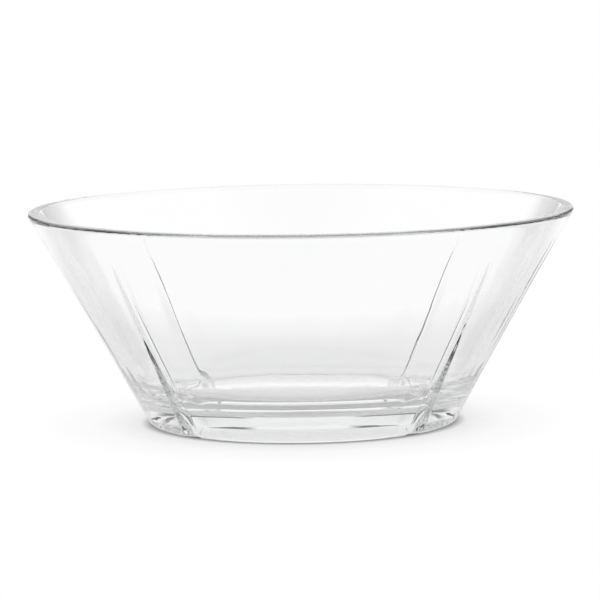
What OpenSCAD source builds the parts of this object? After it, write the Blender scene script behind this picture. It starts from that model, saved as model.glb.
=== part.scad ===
// A round bowl of clear pressed glass: a straight flaring wall that turns into the floor in a wide curve.
// It stands on a flat ring round a hollow underneath, and shallow grooves run down the outside of the wall.
// The bowl is one piece of glass. It stands on z = 0 with its axis on the Z axis.

/* [Bowl] */
// Largest diameter, across the rim
rim_d = 245; // [200:1:300]
// Diameter of the base at the table, before its edge is rounded
base_d = 138; // [100:1:160]
// Height from the table to the top of the rim
bowl_h = 96.5; // [80:0.5:130]

/* [Glass] */
// Thickness of the wall, measured square to it
wall_t = 5; // [4:0.1:7]
// Thickness of the base, from the table to the inner floor
base_t = 14; // [11:0.5:20]

/* [Edges] */
// Radius of the two rounded edges of the rim
lip_r = 1.2; // [0.6:0.1:1.8]
// Radius of the rounded edge where the wall meets the table
heel_r = 3; // [1:0.25:5]
// Radius of the wide curve between the wall and the inner floor
floor_r = 24; // [12:1:32]

/* [Underside] */
// Width of the flat ring that the bowl stands on
foot_w = 7.5; // [3:0.5:10]
// Depth of the hollow inside that ring
punt_h = 8; // [5:0.5:9]
// Width of the steep slope between the ring and the hollow's roof
punt_slope_w = 1.5; // [0.5:0.25:6]
// Radius of the rounded edges at the foot and at the head of that slope
punt_edge_r = 0.8; // [0.4:0.1:1.5]

/* [Grooves] */
// Number of grooves round the wall
groove_count = 4; // [3:1:8]
// Radius of a groove's round bottom
groove_r = 7.5; // [5:0.5:12]
// Depth of a groove at the table, measured square to the wall
groove_depth = 2; // [1:0.1:3]
// Distance below the top of the rim at which a groove runs out
groove_drop = 14.5; // [10:0.5:30]
// Angle of the first groove round the axis
groove_turn = 45; // [0:5:90]

/* [Hidden] */
$fn = 180;
// Number of chords along each rounded edge of the section, and along the wide curve inside
arc_steps = 8;
floor_steps = 16;
// Number of narrow flats that make the rod of a groove
groove_flats = 60;

// Half the sizes that are stated across the bowl
rim_r = rim_d / 2;
base_r = base_d / 2;

// The outside of the wall is the straight line from the corner at the table that touches the lip's arc
lip_reach = norm([rim_r - lip_r - base_r, bowl_h - lip_r]);
wall_lean = atan2(rim_r - lip_r - base_r, bowl_h - lip_r) + asin(lip_r / lip_reach);
wall_out = [cos(wall_lean), -sin(wall_lean)];

// A point on the outside of the wall at height z, moved square into the glass by depth
function wall_point(z, depth = 0) =
    let (into = depth / cos(wall_lean))
    [base_r + z * tan(wall_lean) - into, z];

// Corners of the section before they are rounded, from the table round the rim to the inner floor
heel_corner = wall_point(0);
rim_corner = wall_point(bowl_h);
mouth_corner = wall_point(bowl_h, wall_t);
floor_corner = wall_point(base_t, wall_t);

// How far the arc of an edge reaches from its corner: blunt edges and the rim's sharp one
blunt_reach_share = tan((90 - wall_lean) / 2);
sharp_reach_share = 1 / blunt_reach_share;
heel_reach = heel_r * blunt_reach_share;
rim_reach = lip_r * sharp_reach_share;
mouth_reach = lip_r * blunt_reach_share;
floor_reach = floor_r * blunt_reach_share;

// The hollow under the base, and the centres of the rounded edges of its slope
punt_r = base_r - heel_reach - foot_w;
punt_lean = atan2(punt_h, punt_slope_w);
punt_reach = punt_edge_r * tan(punt_lean / 2);
ring_edge = [punt_r + punt_reach, punt_edge_r];
roof_edge = [punt_r - punt_slope_w - punt_reach, punt_h - punt_edge_r];

// The bottom of a groove is the straight line from groove_foot up to groove_head
groove_foot = wall_point(0) - groove_depth * wall_out;
groove_head = wall_point(bowl_h - groove_drop);
groove_lean = atan2(groove_head[0] - groove_foot[0], groove_head[1] - groove_foot[1]);
groove_length = norm(groove_head - groove_foot);
groove_overrun = 2 * groove_r;

// Points along an arc round the point centre, radius r, from angle start to angle end, both ends included
function arc(centre, r, start, end, steps = arc_steps) = [
    for (i = [0 : steps])
        let (a = start + (end - start) * i / steps)
        centre + r * [cos(a), sin(a)]
];

// The section of the glass: the foot, up the outside, over the rim, down the inside and along the floor
module glass_section() {
    polygon(concat(
        arc(ring_edge, punt_edge_r, -90 - punt_lean, -90),
        arc(heel_corner + [-heel_reach, heel_r], heel_r, -90, -wall_lean),
        arc(rim_corner - [rim_reach, lip_r], lip_r, -wall_lean, 90),
        arc(mouth_corner + [mouth_reach, -lip_r], lip_r, 90, 180 - wall_lean),
        arc(floor_corner + [-floor_reach, floor_r], floor_r, -wall_lean, -90, floor_steps),
        [[0, base_t], [0, punt_h]],
        arc(roof_edge, punt_edge_r, 90, 90 - punt_lean)
    ));
}

// The rod of empty space that a groove takes out of the wall
module groove_space() {
    translate([groove_foot[0], 0, groove_foot[1]])
        rotate([0, groove_lean, 0])
            translate([groove_r, 0, -groove_overrun])
                linear_extrude(groove_length + 2 * groove_overrun)
                    polygon(arc([0, 0], groove_r, 0, 360, groove_flats));
}

// The whole bowl
module bowl() {
    color([0.9, 0.95, 0.94, 0.45])
        difference() {
            rotate_extrude() glass_section();
            for (i = [0 : groove_count - 1])
                rotate([0, 0, groove_turn + i * 360 / groove_count])
                    groove_space();
        }
}

bowl();
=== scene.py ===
# %% [markdown]
# # A clear glass bowl
#
# The real bowl is one piece of pressed glass: a straight wall that flares from a thick base with a
# hollow under it, and four shallow grooves down the outside. A gob of hot glass is pressed between
# a mould, which gives the outside, and a plunger, which gives the inside, and the edges are then
# softened with a flame.
#
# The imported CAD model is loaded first, because it fixes the size and the place of everything made
# here.

import math

import bmesh
import bpy
from mathutils import Matrix, Vector


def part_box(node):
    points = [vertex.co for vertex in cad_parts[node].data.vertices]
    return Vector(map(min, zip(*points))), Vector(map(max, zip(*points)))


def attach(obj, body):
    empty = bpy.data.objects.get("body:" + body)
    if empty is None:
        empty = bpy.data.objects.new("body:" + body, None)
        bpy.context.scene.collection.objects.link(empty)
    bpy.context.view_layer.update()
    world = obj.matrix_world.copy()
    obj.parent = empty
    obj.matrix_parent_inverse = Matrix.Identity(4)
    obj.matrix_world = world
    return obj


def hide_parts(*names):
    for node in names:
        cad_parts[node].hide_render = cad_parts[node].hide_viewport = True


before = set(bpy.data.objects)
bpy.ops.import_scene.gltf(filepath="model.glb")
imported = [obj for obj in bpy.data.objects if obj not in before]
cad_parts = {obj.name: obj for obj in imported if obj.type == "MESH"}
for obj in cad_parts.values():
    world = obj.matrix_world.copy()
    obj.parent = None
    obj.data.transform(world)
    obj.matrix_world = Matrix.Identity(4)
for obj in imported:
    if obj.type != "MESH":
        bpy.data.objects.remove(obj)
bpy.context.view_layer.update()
low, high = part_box("bowl")
print("CAD bowl:", [round((b - a) * 1000, 1) for a, b in zip(low, high)], "mm")

# %% [markdown]
# ## The sizes
#
# The rim and the height are read from the CAD bowl. The rest repeats the sizes that the CAD source
# names, in metres, so that the bowl made here has the same wall, base and grooves.

# %% Sizes of the bowl
MM = 0.001
rim_radius = (high.x - low.x) / 2
bowl_height = high.z - low.z
base_radius = 69 * MM
wall_thickness = 5 * MM  # square to the wall
base_thickness = 14 * MM
lip_radius = 1.2 * MM
heel_radius = 3 * MM
floor_radius = 24 * MM
foot_width = 7.5 * MM
punt_height = 8 * MM  # the punt is the hollow under the base
punt_slope_width = 1.5 * MM
punt_edge_radius = 0.8 * MM
groove_count = 4
groove_radius = 7.5 * MM
groove_depth = 2 * MM  # at the table
groove_drop = 14.5 * MM  # from the rim to the groove's end
groove_turn = math.radians(45)

# The outside of the wall runs from the corner of the base and touches the arc of the lip
lip_out = rim_radius - lip_radius - base_radius
lip_up = bowl_height - lip_radius
wall_lean = math.atan2(lip_out, lip_up) + math.asin(lip_radius / math.hypot(lip_out, lip_up))
heel_reach = heel_radius * math.tan((math.pi / 2 - wall_lean) / 2)
punt_radius = base_radius - heel_reach - foot_width
print("the wall leans", round(math.degrees(wall_lean), 2), "degrees")
print("the foot ring starts at radius", round(punt_radius / MM, 1), "mm")

# %% [markdown]
# ## Sums on nodes, written as Python
#
# A node tree can be drawn by hand, but a sum of ten terms is easier to read as a line of Python.
# `Wire` stands for one output socket: adding or multiplying wires adds the Math nodes for it.
# `Graph.node` makes any other node from its type, its settings and the values or wires of its
# sockets.

# %% Wires
class Wire:
    """An output socket that can stand in a Python sum."""

    def __init__(self, graph, socket):
        self.graph, self.socket = graph, socket

    def __add__(self, other):
        return self.graph.math("ADD", self, other)

    def __sub__(self, other):
        return self.graph.math("SUBTRACT", self, other)

    def __rsub__(self, other):
        return self.graph.math("SUBTRACT", other, self)

    def __neg__(self):
        return 0.0 - self

    def __mul__(self, other):
        return self.graph.math("MULTIPLY", self, other)

    def __truediv__(self, other):
        return self.graph.math("DIVIDE", self, other)

    def __rtruediv__(self, other):
        return self.graph.math("DIVIDE", other, self)

    __radd__, __rmul__ = __add__, __mul__


# %% Graphs
class Graph:
    """A node tree that is being built."""

    def __init__(self, tree):
        self.tree = tree

    def node(self, kind, settings=None, sockets=None, output=None):
        """A new node. It gives the wire of the named output, or else of the first one shown."""
        made = self.tree.nodes.new(kind)
        for name, value in (settings or {}).items():
            if name == "stops":
                self.set_stops(made.color_ramp.elements, value)
            elif name == "item_count":
                while len(made.index_switch_items) < value:
                    made.index_switch_items.new()
            else:
                setattr(made, name, value)
        for name, value in (sockets or {}).items():
            live = [socket for socket in made.inputs if socket.enabled]
            if isinstance(name, int):
                socket = live[name]
            else:
                socket = next(found for found in live if found.name == name)
            if isinstance(value, Wire):
                self.tree.links.new(value.socket, socket)
            else:
                socket.default_value = value
        shown = {socket.name: Wire(self, socket) for socket in made.outputs if socket.enabled}
        return shown[output] if output else next(iter(shown.values()), None)

    @staticmethod
    def set_stops(elements, stops):
        """A ramp's colours. A new ramp has two stops, and each further one goes between them."""
        while len(elements) < len(stops):
            elements.new(1)
        for element, (position, colour) in zip(elements, stops):
            element.position = position
            element.color = colour

    def math(self, operation, *values):
        return self.node("ShaderNodeMath", {"operation": operation}, dict(enumerate(values)))

    def table(self, data_type, index, values):
        """The value at index in a short list."""
        settings = {"data_type": data_type, "item_count": len(values)}
        sockets = {"Index": index, **{str(i): value for i, value in enumerate(values)}}
        return self.node("GeometryNodeIndexSwitch", settings, sockets)

    def xyz(self, x=0.0, y=0.0, z=0.0):
        return self.node("ShaderNodeCombineXYZ", sockets={"X": x, "Y": y, "Z": z})

    def split(self, vector):
        part = self.node("ShaderNodeSeparateXYZ", sockets={"Vector": vector})
        return [Wire(self, socket) for socket in part.socket.node.outputs]


def new_graph(data):
    """An empty graph on the nodes of a material or a world."""
    data.use_nodes = True
    data.node_tree.nodes.clear()
    return Graph(data.node_tree)


# %% [markdown]
# ## The glass
#
# Soda-lime glass bends light with an index of about 1.52. Light that is guided a long way inside
# the wall comes out grey, because the glass keeps a little of it, so that is a volume absorption
# and not a surface colour. The mould leaves the faint uneven skin that a cast surface has, and the
# plunger's side is smoother: both come from one noise bump, stronger where the piece's own
# attribute says that the mould shaped it. A few wide smears are a trace rougher than the rest.

# %% Clear pressed glass
MOULD_SIDE = "mould_side"  # the attribute: 1 on the outside of the wall, 0 elsewhere
GLASS_INDEX = 1.52
SKIN_SCALE = 110.0  # dimples about 9 mm apart
SKIN_HEIGHT = 0.04 * MM
PLUNGER_SKIN = 0.3  # the skin's height inside, as a share of that on the mould's side
SMEAR_SCALE = 28.0  # smears about 35 mm apart
SMEAR_ROUGHNESS = 0.02


def make_glass():
    material = bpy.data.materials.new("clear_pressed_glass")
    graph = new_graph(material)
    place = graph.node("ShaderNodeTexCoord", output="Object")
    mould = graph.node("ShaderNodeAttribute", {"attribute_name": MOULD_SIDE}, output="Fac")
    skin = graph.node(
        "ShaderNodeTexNoise",
        sockets={"Vector": place, "Scale": SKIN_SCALE, "Detail": 1.5, "Roughness": 0.4},
    )
    smears = graph.node(
        "ShaderNodeTexNoise", sockets={"Vector": place, "Scale": SMEAR_SCALE, "Detail": 4.0}
    )
    bump = graph.node(
        "ShaderNodeBump",
        sockets={
            "Strength": 0.5,
            "Distance": SKIN_HEIGHT,
            "Height": skin * (PLUNGER_SKIN + (1 - PLUNGER_SKIN) * mould),
        },
    )
    shine = graph.node(
        "ShaderNodeMapRange",
        sockets={
            "Value": smears,
            "From Min": 0.5,
            "From Max": 0.75,
            "To Min": 0.0,
            "To Max": SMEAR_ROUGHNESS,
        },
    )
    glass = graph.node(
        "ShaderNodeBsdfPrincipled",
        sockets={
            "Base Color": (0.995, 0.997, 0.996, 1),
            "Roughness": shine,
            "IOR": GLASS_INDEX,
            "Transmission Weight": 1.0,
            "Normal": bump,
        },
    )
    tint = graph.node(
        "ShaderNodeVolumeAbsorption", sockets={"Color": (0.8, 0.81, 0.805, 1), "Density": 6.0}
    )
    graph.node("ShaderNodeOutputMaterial", sockets={"Surface": glass, "Volume": tint})
    return material


clear_glass = make_glass()
print("glass:", len(clear_glass.node_tree.nodes), "nodes")

# %% [markdown]
# ## The bowl as a lathe
#
# Every pressed bowl starts as one outline turned about its axis, so the shape follows a rule and
# Geometry Nodes can hold it: the outline's corners are worked out from named sizes, rounded by
# Fillet Curve, and swept round a circle by Curve to Mesh. Change one number and the whole bowl
# follows. The first cell names the inputs.

# %% The lathe's inputs
lathe = bpy.data.node_groups.new("pressed_bowl", "GeometryNodeTree")
LENGTH, ANGLE = ("DISTANCE", "Float"), ("ANGLE", "Float")
NUMBER, COUNT = ("NONE", "Float"), ("NONE", "Int")
INPUTS = {
    "Height": (LENGTH, bowl_height),
    "Base radius": (LENGTH, base_radius),
    "Wall lean": (ANGLE, wall_lean),
    "Wall thickness": (LENGTH, wall_thickness),
    "Base thickness": (LENGTH, base_thickness),
    "Lip radius": (LENGTH, lip_radius),
    "Heel radius": (LENGTH, heel_radius),
    "Floor radius": (LENGTH, floor_radius),
    "Punt radius": (LENGTH, punt_radius),
    "Punt height": (LENGTH, punt_height),
    "Punt slope": (LENGTH, punt_slope_width),
    "Punt rounding": (LENGTH, punt_edge_radius),
    "Groove count": (COUNT, groove_count),
    "Groove turn": (ANGLE, groove_turn),
    "Groove radius": (LENGTH, groove_radius),
    "Groove depth": (LENGTH, groove_depth),
    "Groove drop": (LENGTH, groove_drop),
    "Shoulder": (LENGTH, 0.6 * MM),
    "Wave depth": (LENGTH, 0.9 * MM),
    "Wave size": (LENGTH, 6 * MM),
    "Wave stretch": (NUMBER, 12.0),
    "Seed": (COUNT, 4),
    "Columns": (COUNT, 448),
    "Crowding": (NUMBER, 0.8),
    "Close rows": (LENGTH, 1.3 * MM),
    "Wide rows": (LENGTH, 5 * MM),
    "Corner points": (COUNT, 12),
}
for name, ((subtype, kind), _) in INPUTS.items():
    socket = lathe.interface.new_socket(name, in_out="INPUT", socket_type="NodeSocket" + kind)
    if subtype != "NONE":
        socket.subtype = subtype
lathe.interface.new_socket("Geometry", in_out="OUTPUT", socket_type="NodeSocketGeometry")
graph = Graph(lathe)
group_in = lathe.nodes.new("NodeGroupInput")
size = {name: Wire(graph, group_in.outputs[name]) for name in INPUTS}
print("lathe inputs:", len(size))

# %% [markdown]
# The outline runs from the middle of the underside, out over the foot ring, up the outside, over
# the rim, down the inside and across the floor to the axis. It is a line of eight points. Index
# Switch acts as a small table that gives each point its place, the radius of its rounding, and
# whether the mould shapes it.

# %% The corners of the outline
lean_tangent = graph.math("TANGENT", size["Wall lean"])
wall_across = size["Wall thickness"] / graph.math("COSINE", size["Wall lean"])


def wall_radius(height):
    """The outside radius of the wall at a height, before any rounding."""
    return size["Base radius"] + lean_tangent * height


corner = graph.node("GeometryNodeInputIndex")
corner_place = graph.table(
    "VECTOR",
    corner,
    [
        graph.xyz(0.0, size["Punt height"]),
        graph.xyz(size["Punt radius"] - size["Punt slope"], size["Punt height"]),
        graph.xyz(size["Punt radius"], 0.0),
        graph.xyz(size["Base radius"], 0.0),
        graph.xyz(wall_radius(size["Height"]), size["Height"]),
        graph.xyz(wall_radius(size["Height"]) - wall_across, size["Height"]),
        graph.xyz(wall_radius(size["Base thickness"]) - wall_across, size["Base thickness"]),
        graph.xyz(0.0, size["Base thickness"]),
    ],
)
corner_rounding = graph.table(
    "FLOAT",
    corner,
    [
        0.0,
        size["Punt rounding"],
        size["Punt rounding"],
        size["Heel radius"],
        size["Lip radius"],
        size["Lip radius"],
        size["Floor radius"],
        0.0,
    ],
)
MOULD_SHARES = [0.0, 0.0, 0.0, 1.0, 1.0, 0.0, 0.0, 0.0]
print("corners:", len(MOULD_SHARES))

# %% [markdown]
# A number that a later node needs is stored on the points as a named attribute. Curve to Mesh
# carries the mould's shares on to the bowl's surface, and they run smoothly from corner to corner.

# %% The rounded outline
ROUNDING = "rounding"


def store(points, name, value):
    return graph.node(
        "GeometryNodeStoreNamedAttribute",
        {"data_type": "FLOAT", "domain": "POINT"},
        {"Geometry": points, "Name": name, "Value": value},
    )


def stored(name):
    return graph.node("GeometryNodeInputNamedAttribute", {"data_type": "FLOAT"}, {"Name": name})


points = graph.node("GeometryNodeMeshLine", sockets={"Count": len(MOULD_SHARES)})
points = store(points, MOULD_SIDE, graph.table("FLOAT", corner, MOULD_SHARES))
points = store(points, ROUNDING, corner_rounding)
points = graph.node(
    "GeometryNodeSetPosition", sockets={"Geometry": points, "Position": corner_place}
)
outline = graph.node("GeometryNodeMeshToCurve", sockets={"Mesh": points})
outline = graph.node(
    "GeometryNodeFilletCurve",
    {"mode": "POLY"},
    {
        "Curve": outline,
        "Count": size["Corner points"],
        "Radius": stored(ROUNDING),
        "Limit Radius": True,
    },
)
print("points on each rounded corner:", INPUTS["Corner points"][1])

# %% [markdown]
# Only the outside wall carries grooves, so only it needs close rows. It is also the only long
# stretch of the outline that climbs, so each stretch is cut into its rise over the close spacing
# plus its length over the wide one.

# %% Rows along the outline
here = graph.node("GeometryNodeInputPosition")
following = graph.node(
    "GeometryNodeFieldAtIndex",
    {"data_type": "FLOAT_VECTOR", "domain": "POINT"},
    {"Value": here, "Index": corner + 1},
)
stretch = graph.node("ShaderNodeVectorMath", {"operation": "DISTANCE"}, {0: here, 1: following})
rise = graph.math("MAXIMUM", graph.split(following)[1] - graph.split(here)[1], 0.0)
outline = graph.node(
    "GeometryNodeSubdivideCurve",
    sockets={"Curve": outline, "Cuts": rise / size["Close rows"] + stretch / size["Wide rows"]},
)
circle = graph.node(
    "GeometryNodeCurvePrimitiveCircle", sockets={"Resolution": size["Columns"], "Radius": 1.0}
)
circle = graph.node("GeometryNodeReverseCurve", sockets={"Curve": circle})
profile = graph.node(
    "GeometryNodeTransform",
    sockets={
        "Geometry": outline,
        "Translation": (1.0, 0.0, 0.0),
        "Rotation": (0.0, 0.0, math.pi),
    },
)
turned = graph.node(
    "GeometryNodeCurveToMesh", sockets={"Curve": circle, "Profile Curve": profile}
)
column_gap = 2 * math.pi * base_radius / INPUTS["Columns"][1]
print("columns at the foot:", round(column_gap / MM, 2), "mm apart")

# %% [markdown]
# A groove is 10 mm wide at the foot, where the columns are about 1 mm apart: too coarse for a
# clean curve. Turning each column a little towards its nearest groove crowds them there, and the
# total stays the same. A position is a field: each node that moves points reads it afresh, so the
# same wires serve the steps that follow.

# %% Columns crowd at the grooves
x, y, z = graph.split(here)
radius = graph.math("SQRT", x * x + y * y)
angle = graph.math("ARCTAN2", y, x)
pull = graph.math("SINE", (angle - size["Groove turn"]) * size["Groove count"])
drawn = angle - pull * size["Crowding"] / size["Groove count"]
drawn_place = graph.xyz(
    radius * graph.math("COSINE", drawn), radius * graph.math("SINE", drawn), z
)
crowded = graph.node(
    "GeometryNodeSetPosition", sockets={"Geometry": turned, "Position": drawn_place}
)
groove_gap = column_gap * (1 - INPUTS["Crowding"][1])
print("columns in a groove:", round(groove_gap / MM, 2), "mm apart")

# %% [markdown]
# ## The grooves
#
# Each groove is the mark of a round rod laid against the wall, deepest at the table and running
# out near the rim. A boolean would cut it with a knife edge. Here every point of the wall asks how
# deep it lies inside the rod, and moves towards the axis by that much. Smooth Maximum then rolls
# the edge over, as a mould's edge does, and the mould's share fades the cut to nothing across the
# foot ring.
#
# First the rod: how deep its bottom lies under the wall at the height of a point, and how much of
# that the rod's roundness takes back at the point's distance from the middle of the groove.

# %% The rod of a groove
half_sector = math.pi / size["Groove count"]
from_groove = graph.math("WRAP", angle - size["Groove turn"], half_sector, -half_sector)
ahead = radius * graph.math("COSINE", from_groove)
aside = radius * graph.math("SINE", from_groove)

foot_x = size["Base radius"] - size["Groove depth"] * graph.math("COSINE", size["Wall lean"])
foot_z = size["Groove depth"] * graph.math("SINE", size["Wall lean"])
head_z = size["Height"] - size["Groove drop"]
groove_slope = (wall_radius(head_z) - foot_x) / (head_z - foot_z)
groove_across = 1 / graph.math("SQRT", 1 + groove_slope * groove_slope)
past_bottom = wall_radius(z) - radius + ahead - foot_x - groove_slope * (z - foot_z)
wall_depth = past_bottom * groove_across
rod_square = size["Groove radius"] * size["Groove radius"]
rounded_off = size["Groove radius"] - graph.math(
    "SQRT", graph.math("MAXIMUM", rod_square - aside * aside, 0.0)
)
print("lathe tree so far:", len(lathe.nodes), "nodes")

# %% [markdown]
# Then the cut. The softness of its edge is the shoulder's size where the groove is deep. Near the
# groove's end it shrinks with the depth, so that the edge doesn't dent the wall above it.

# %% Press the grooves
SOFT_SHARE = 0.4  # the softness of the edge, as a share of the groove's depth
LEAST_SOFTNESS = 0.05 * MM


def press(geometry, depth):
    """Move each point towards the axis by a depth."""
    part = depth / graph.math("MAXIMUM", radius, MM)
    return graph.node(
        "GeometryNodeSetPosition",
        sockets={"Geometry": geometry, "Offset": graph.xyz(-x * part, -y * part, 0.0)},
    )


softness = graph.math(
    "MINIMUM", size["Shoulder"], graph.math("MAXIMUM", wall_depth * SOFT_SHARE, LEAST_SOFTNESS)
)
cut = graph.math("SMOOTH_MAX", wall_depth - rounded_off, 0.0, softness) / groove_across
mould_share = stored(MOULD_SIDE)
grooved = press(crowded, cut * mould_share)
print("grooves:", INPUTS["Groove count"][1], "of", round(groove_depth / MM, 1), "mm")

# %% [markdown]
# ## The unevenness of pressed glass
#
# Glass shrinks unevenly as it sets and drags along the plunger, so the wall is never a perfect
# cone. Waves a few tenths of a millimetre deep draw the streaks at both sides of the bowl. They
# run along the wall, so each point first goes to the same angle on a plain cylinder, with its
# height divided by the stretch. The waves fade out at the rim, at the foot and towards each
# groove.

# %% Waves in the wall
SEED_STEP = 7.3  # how far one seed's waves lie from the next one's
PLUNGER_WAVES = 0.35  # the waves' depth inside, as a share of that on the mould's side
CALM_REACH = 0.55  # full waves from this share of the way to the middle between two grooves

off_axis = graph.math("MAXIMUM", radius, MM)
swell = graph.node(
    "ShaderNodeTexNoise",
    {"noise_dimensions": "4D"},
    {
        "Vector": graph.xyz(
            x * size["Base radius"] / off_axis,
            y * size["Base radius"] / off_axis,
            z / size["Wave stretch"],
        ),
        "W": size["Seed"] * SEED_STEP,
        "Scale": 1 / size["Wave size"],
        "Detail": 2.0,
        "Roughness": 0.45,
    },
)
up = z / size["Height"]
off_edges = graph.math("MAXIMUM", up * (1 - up), 0.0) * 4  # 1 at half height, 0 at both ends
calm = graph.math(
    "MINIMUM", graph.math("ABSOLUTE", from_groove) / (half_sector * CALM_REACH), 1.0
)
by_side = PLUNGER_WAVES + (1 - PLUNGER_WAVES) * mould_share
waved = press(grooved, swell * size["Wave depth"] * off_edges * calm * by_side)
print("waves: at most", round(INPUTS["Wave depth"][1] / MM, 1), "mm deep")

# %% [markdown]
# The outline starts and ends on the axis, where every column has a point of its own. Merge by
# Distance joins those into one, which closes both poles. Realize Instances and Set Material come
# last.

# %% Close the poles and finish the tree
MERGE_DISTANCE = 0.01 * MM
whole = graph.node(
    "GeometryNodeMergeByDistance", sockets={"Geometry": waved, "Distance": MERGE_DISTANCE}
)
smooth = graph.node(
    "GeometryNodeSetShadeSmooth", sockets={"Geometry": whole, "Shade Smooth": True}
)
real = graph.node("GeometryNodeRealizeInstances", sockets={"Geometry": smooth})
finished = graph.node(
    "GeometryNodeSetMaterial", sockets={"Geometry": real, "Material": clear_glass}
)
group_out = lathe.nodes.new("NodeGroupOutput")
lathe.links.new(finished.socket, group_out.inputs["Geometry"])
print("lathe tree:", len(lathe.nodes), "nodes")

# %% [markdown]
# ## From nodes to a mesh
#
# The tree runs as a modifier on an empty mesh. Its inputs are set by identifier before it first
# runs, the result is copied into a plain mesh, and the modifier goes, so that what is left can be
# exported anywhere.

# %% Run the lathe
bowl = bpy.data.objects.new("glass_bowl", bpy.data.meshes.new("glass_bowl"))
bpy.context.scene.collection.objects.link(bowl)
modifier = bowl.modifiers.new("Lathe", "NODES")
modifier.node_group = lathe
for item in lathe.interface.items_tree:
    if item.in_out == "INPUT":
        modifier[item.identifier] = INPUTS[item.name][1]
bpy.context.view_layer.update()
evaluated = bowl.evaluated_get(bpy.context.evaluated_depsgraph_get())
plain = bpy.data.meshes.new_from_object(evaluated)
bowl.modifiers.remove(modifier)
bowl.data = plain
print("bowl mesh:", len(plain.polygons), "faces")

# %% [markdown]
# Clear glass shows every hole and every face that points the wrong way, so the mesh is measured:
# it needs no open edge and a positive volume.

# %% Measure the bowl
checked = bmesh.new()
checked.from_mesh(plain)
open_edges = sum(not edge.is_manifold for edge in checked.edges)
volume = checked.calc_volume(signed=True)
triangles = sum(len(face.verts) - 2 for face in checked.faces)
checked.free()
print(triangles, "triangles,", open_edges, "open edges,", round(volume * 1e6, 1), "cm3")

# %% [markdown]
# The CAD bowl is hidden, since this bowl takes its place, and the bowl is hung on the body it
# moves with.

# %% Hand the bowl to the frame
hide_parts("bowl")
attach(bowl, "root")
print("glass_bowl stands for bowl and rides on root")

# %% [markdown]
# ## The table
#
# The bowl stands on a plain pale table. Under the bowl the table is a matt surface. From the foot
# outwards a glowing white is mixed in as painted light, so that the shadow stays but pales: for the
# camera it grows towards full white, and for what the glass shows of the table it rises, dips and
# rises again. A thin dark ring round the foot is a painted contact shadow in the table's colour.

# %% The table's paint
table_reach = 0.9
# Radius on the table, and the share of painted light (a glowing white) there: as the camera sees
# it, and as the glass does
CAMERA_PAINTED_LIGHT = [(0.0687, 0.0), (0.0725, 0.6), (0.09, 0.85), (0.12, 1.0)]
GLASS_PAINTED_LIGHT = [(0.066, 0.22), (0.08, 0.55), (0.15, 0.3), (0.26, 0.25), (0.4, 1.0)]
# Radius, and the share of the paint kept under the painted contact shadow round the foot
PAINTED_CONTACT_SHADOW = [(0.066, 1.0), (0.0668, 0.2), (0.0687, 0.25), (0.073, 1.0)]
# The painted contact shadow is lifted by this share where the glass shows it
PAINTED_SHADOW_LIFT = 0.6  # what the glass shows of that gap is less dark
PAINT = (0.89, 0.91)  # the grain's darker and lighter parts


def grey(value):
    return (value, value, value, 1)


def grey_ramp(graph, place, table, reach=1.0):
    """The grey at a place, from a table of places and greys. The ramp ends at reach."""
    stops = [(at / reach, grey(value)) for at, value in table]
    return graph.node("ShaderNodeValToRGB", {"stops": stops}, {"Fac": place})


def make_paint():
    material = bpy.data.materials.new("pale_table")
    graph = new_graph(material)
    place = graph.node("ShaderNodeTexCoord", output="Object")
    x, y, _ = graph.split(place)
    distance = graph.math("SQRT", x * x + y * y) / table_reach
    grain = graph.node(
        "ShaderNodeTexNoise", sockets={"Vector": place, "Scale": 40.0, "Detail": 6.0}
    )
    dark, light = PAINT
    paint = graph.node(
        "ShaderNodeMix",
        {"data_type": "RGBA"},
        {"Factor": grain, "A": grey(dark), "B": grey(light)},
    )
    by_camera = graph.node("ShaderNodeLightPath", output="Is Camera Ray")
    reflected = graph.node("ShaderNodeLightPath", output="Is Glossy Ray")
    refracted = graph.node("ShaderNodeLightPath", output="Is Transmission Ray")
    by_glass = graph.math("MINIMUM", reflected + refracted, 1.0)
    # The painted contact shadow: a dark ring mixed into the table's colour round the foot
    painted_ring = grey_ramp(graph, distance, PAINTED_CONTACT_SHADOW, table_reach)
    unshadowed_share = graph.math("MINIMUM", painted_ring + by_glass * PAINTED_SHADOW_LIFT, 1.0)
    paint_with_shadow = graph.node(
        "ShaderNodeMix", {"data_type": "RGBA"}, {"Factor": unshadowed_share, "A": grey(0.0), "B": paint}
    )
    matt = graph.node(
        "ShaderNodeBsdfPrincipled", sockets={"Base Color": paint_with_shadow, "Roughness": 0.6}
    )
    # A glowing white, mixed in by radius as painted light that pales the table's shadow
    white = graph.node("ShaderNodeEmission", sockets={"Color": grey(1.0), "Strength": 1.0})
    seen_painted_light = grey_ramp(graph, distance, CAMERA_PAINTED_LIGHT, table_reach) * by_camera
    shown_painted_light = grey_ramp(graph, distance, GLASS_PAINTED_LIGHT, table_reach) * by_glass
    surface = graph.node(
        "ShaderNodeMixShader", sockets={0: seen_painted_light + shown_painted_light, 1: matt, 2: white}
    )
    graph.node("ShaderNodeOutputMaterial", sockets={"Surface": surface})
    return material


pale_paint = make_paint()
print("paint:", len(pale_paint.node_tree.nodes), "nodes")

# %% [markdown]
# The table lies a hair under the foot. Where two surfaces share one plane, the renderer can't tell
# which comes first, and with air between them the flat face of the foot still mirrors.

# %% A pale table
table_width = 6.0
air_gap = 0.05 * MM


def make_table():
    mesh = bpy.data.meshes.new("table")
    half = table_width / 2
    corners = [(-half, -half), (half, -half), (half, half), (-half, half)]
    mesh.from_pydata([(x, y, -air_gap) for x, y in corners], [], [(0, 1, 2, 3)])
    mesh.materials.append(pale_paint)
    made = bpy.data.objects.new("table", mesh)
    bpy.context.scene.collection.objects.link(made)
    return made


table = make_table()
print("table:", table_width, "m wide")

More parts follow.
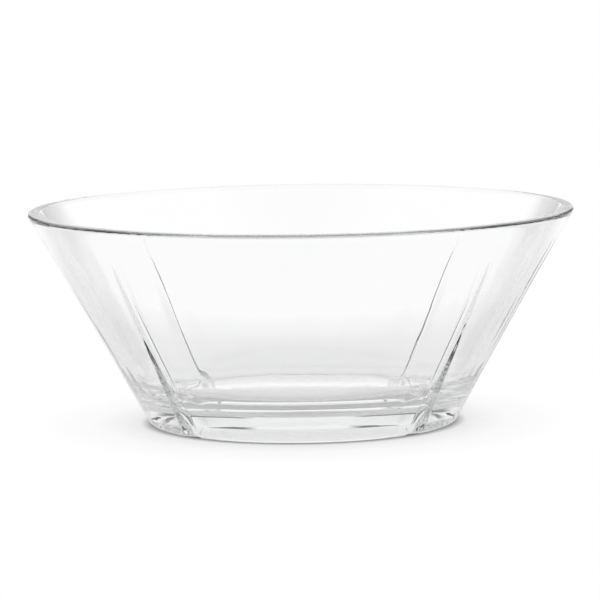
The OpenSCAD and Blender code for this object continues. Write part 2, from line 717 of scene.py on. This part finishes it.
# %% [markdown]
# ## The light
#
# Clear glass has no colour of its own: it shows what stands round it. White screens up to 50
# degrees above the table make the walls bright, and a dull ceiling over them gives the rim and the
# grooves the grey lines that draw the bowl. The ring of white goes all the way round, so the bowl
# looks right from every side. Only behind the bowl, left and right of the picture, does a low dark
# screen stand in it, which outlines the sides of the bowl. The camera itself sees plain white.

# %% Backdrop and ceiling
WHITE_UP_TO, DULL_FROM = math.radians(50), math.radians(66)
# The upward part of a direction, and how bright the studio is there
CEILING = [(0.0, 1.0), (math.sin(WHITE_UP_TO), 1.0), (math.sin(DULL_FROM), 0.3), (1.0, 0.3)]
# The sideways part of a direction, and how bright the dark screens are there
SCREENS = [(0.18, 1.0), (0.25, 0.2), (0.7, 0.2), (0.8, 1.0)]
SCREEN_TOP = (0.26, 0.34)  # the upward part of a direction where the screens fade out
STUDIO_STRENGTH = 1.05


def make_backdrop():
    world = bpy.data.worlds.new("studio")
    bpy.context.scene.world = world
    graph = new_graph(world)
    x, y, height = graph.split(graph.node("ShaderNodeTexCoord", output="Generated"))
    ring = grey_ramp(graph, height, CEILING)
    screens = grey_ramp(graph, graph.math("ABSOLUTE", x), SCREENS)
    fade_from, fade_to = SCREEN_TOP
    low = graph.node(
        "ShaderNodeMapRange",
        sockets={
            "Value": height,
            "From Min": fade_from,
            "From Max": fade_to,
            "To Min": 1.0,
            "To Max": 0.0,
        },
    )
    standing = low * graph.math("GREATER_THAN", y, 0.0)  # behind the bowl only
    strength = STUDIO_STRENGTH * (1 - standing * (1 - screens))
    studio = graph.node("ShaderNodeBackground", sockets={"Color": ring, "Strength": strength})
    white = graph.node("ShaderNodeBackground", sockets={"Color": grey(1.0), "Strength": 1.0})
    by_camera = graph.node("ShaderNodeLightPath", output="Is Camera Ray")
    seen = graph.node("ShaderNodeMixShader", sockets={0: by_camera, 1: studio, 2: white})
    graph.node("ShaderNodeOutputWorld", sockets={"Surface": seen})
    return world


studio = make_backdrop()
print("studio:", len(studio.node_tree.nodes), "nodes")

# %% [markdown]
# A wide, weak lamp high above adds a soft shine on the rim and a soft shadow under the bowl.

# %% A soft lamp
def make_lamp(name, place, aim, width, power):
    lamp = bpy.data.lights.new(name, "AREA")
    lamp.shape = "RECTANGLE"
    lamp.size, lamp.size_y = width
    lamp.energy = power
    made = bpy.data.objects.new(name, lamp)
    bpy.context.scene.collection.objects.link(made)
    made.location = place
    made.rotation_euler = (Vector(aim) - Vector(place)).to_track_quat("-Z", "Y").to_euler()
    return made


softbox = make_lamp(
    "softbox_above", place=(0.0, 0.1, 1.5), aim=(0, 0, 0), width=(1.2, 1.2), power=2.0
)
print(softbox.name, "of", softbox.data.energy, "W")

# %% [markdown]
# ## The camera
#
# The picture was taken with a long lens from a little above the rim. The lens, distance, height
# and tilt come from the rim's ellipse and the base's curve.

# %% Camera at the picture's angle
camera_distance = 1.7088
camera_rise = math.radians(8.65)
camera_roll = math.radians(-0.781)
camera_turn = math.radians(0.1)
camera_aim = Vector((-0.00082, 0, 0.0546))
IMAGE_WIDTH, SENSOR_WIDTH, FOCAL_PIXELS = 600, 36.0, 3773.8


def make_camera():
    lens = bpy.data.cameras.new("camera")
    lens.sensor_width = SENSOR_WIDTH
    lens.lens = FOCAL_PIXELS * SENSOR_WIDTH / IMAGE_WIDTH
    made = bpy.data.objects.new("camera", lens)
    bpy.context.scene.collection.objects.link(made)
    place = Vector((0, -math.cos(camera_rise), math.sin(camera_rise))) * camera_distance
    ahead = (camera_aim - place).normalized()
    right = ahead.cross(Vector((0, 0, 1))).normalized()
    above = right.cross(ahead)
    tilted_right = math.cos(camera_roll) * right + math.sin(camera_roll) * above
    tilted_up = math.cos(camera_roll) * above - math.sin(camera_roll) * right
    axes = Matrix((tilted_right, tilted_up, -ahead)).transposed().to_4x4()
    made.matrix_world = Matrix.Rotation(camera_turn, 4, "Z") @ Matrix.Translation(place) @ axes
    bpy.context.scene.camera = made
    return made


camera = make_camera()
print("camera at", [round(v, 3) for v in camera.matrix_world.translation])
print("lens:", round(camera.data.lens, 1), "mm")

# %% [markdown]
# ## Colours and bounces
#
# The Standard view shows a colour as it is written. Light that enters the rim or passes a groove
# is guided along inside the glass and turns many times before it leaves. A path that is not out
# when the limit is reached counts as black, and that helps to draw the rim and the grooves as dark
# lines. The limit is therefore part of the look: with 48 or more those lines come out too pale,
# and with 24 the rim is a little too dark.

# %% Plain colours, and a limit to the bounces
MOST_BOUNCES = 28
MOST_OF_A_KIND = 24  # of the refractions, and of the reflections
scene = bpy.context.scene
scene.view_settings.view_transform = "Standard"
scene.cycles.max_bounces = MOST_BOUNCES
scene.cycles.transmission_bounces = MOST_OF_A_KIND
scene.cycles.glossy_bounces = MOST_OF_A_KIND
print("bounces: at most", MOST_BOUNCES)
